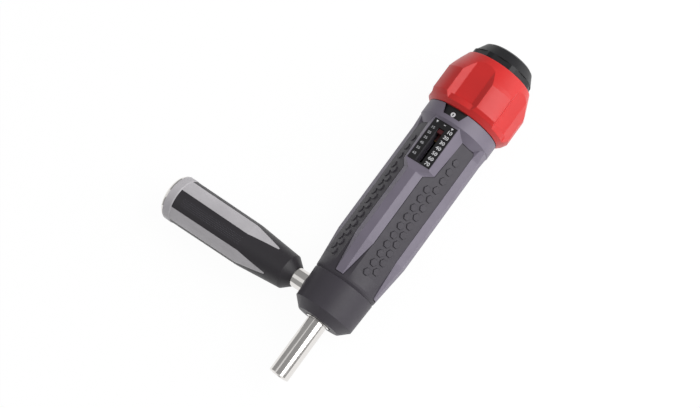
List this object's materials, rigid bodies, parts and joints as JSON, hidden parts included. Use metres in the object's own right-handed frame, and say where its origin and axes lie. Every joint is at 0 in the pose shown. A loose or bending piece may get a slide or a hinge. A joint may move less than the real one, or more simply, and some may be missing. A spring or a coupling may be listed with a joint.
{
  "type": "torque screwdriver",
  "caption": "Adjustable torque screwdriver: ribbed grip with a scale window, turning knob with a lock cap, hexagonal bit socket and a plug-in side handle for leverage.",
  "frame": {"origin": "centre of the bit socket's mouth, at the tip of the spindle", "axes": "+X along the tool from the spindle to the knob, +Y along the side handle, +Z out of the scale window"},
  "size_m": [0.2, 0.1295, 0.0473],
  "materials": {
    "shell_grey": "fine satin moulded plastic",
    "grip_charcoal": "soft matt overmould",
    "nose_charcoal": "satin moulded plastic",
    "knob_red": "smooth moulded plastic",
    "cap_black": "satin moulded plastic",
    "scale_black": "printed black plate",
    "pointer_red": "smooth moulded plastic",
    "chrome": "bright plated steel",
    "brass": "turned brass",
    "clutch_steel": "hardened and ground",
    "spring_steel": "drawn wire",
    "magnet_nickel": "nickel-plated magnet",
    "side_black": "soft matt plastic with fine dots",
    "side_grey": "satin moulded plastic"
  },
  "bodies": {
    "handle": {"body_shell": "shell_grey", "grip_overmould": "grip_charcoal", "scale_plate": "scale_black", "nose_housing": "nose_charcoal", "spindle_bush": "brass", "clutch_balls": "clutch_steel", "clutch_plate": "clutch_steel", "thrust_washer": "clutch_steel", "main_spring": "spring_steel", "screw_bush": "brass"},
    "knob_group": {"knob": "knob_red", "fine_scale_ring": "scale_black", "adjusting_screw": "clutch_steel", "screw_ring": "spring_steel", "knob_screws": "clutch_steel"},
    "lock": {"lock_cap": "cap_black", "lock_screw": "clutch_steel"},
    "setting": {"spring_nut": "brass", "pointer": "pointer_red"},
    "spindle_group": {"spindle": "chrome", "driven_plate": "clutch_steel", "spindle_ring": "chrome", "bit_magnet": "magnet_nickel", "bit_ring": "spring_steel"},
    "side_handle": {"side_shank": "chrome", "side_ring": "spring_steel", "side_grip": "side_black", "side_stripes": "side_grey", "side_pommel": "chrome"}
  },
  "joints": [
    {"name": "knob_turn", "type": "hinge", "parent": "handle", "child": "knob_group", "pos_m": [0.159, 0, 0], "axis": [-1, 0, 0], "range_deg": [0, 2160]},
    {"name": "lock_turn", "type": "hinge", "parent": "knob_group", "child": "lock", "pos_m": [0.192, 0, 0], "axis": [1, 0, 0], "range_deg": [0, 90]},
    {"name": "pointer_slide", "type": "slide", "parent": "handle", "child": "setting", "axis": [-1, 0, 0], "range_m": [0, 0.0194], "deforming": ["main_spring"]},
    {"name": "clutch_slip", "type": "hinge", "parent": "handle", "child": "spindle_group", "pos_m": [0.045, 0, 0], "axis": [1, 0, 0], "continuous": true},
    {"name": "side_handle_pull", "type": "slide", "parent": "handle", "child": "side_handle", "axis": [0, 1, 0], "range_m": [0, 0.009]}
  ],
  "couplings": [
    {"joint": "pointer_slide", "follows": "knob_turn", "m_per_rad": 0.00051248}
  ]
}
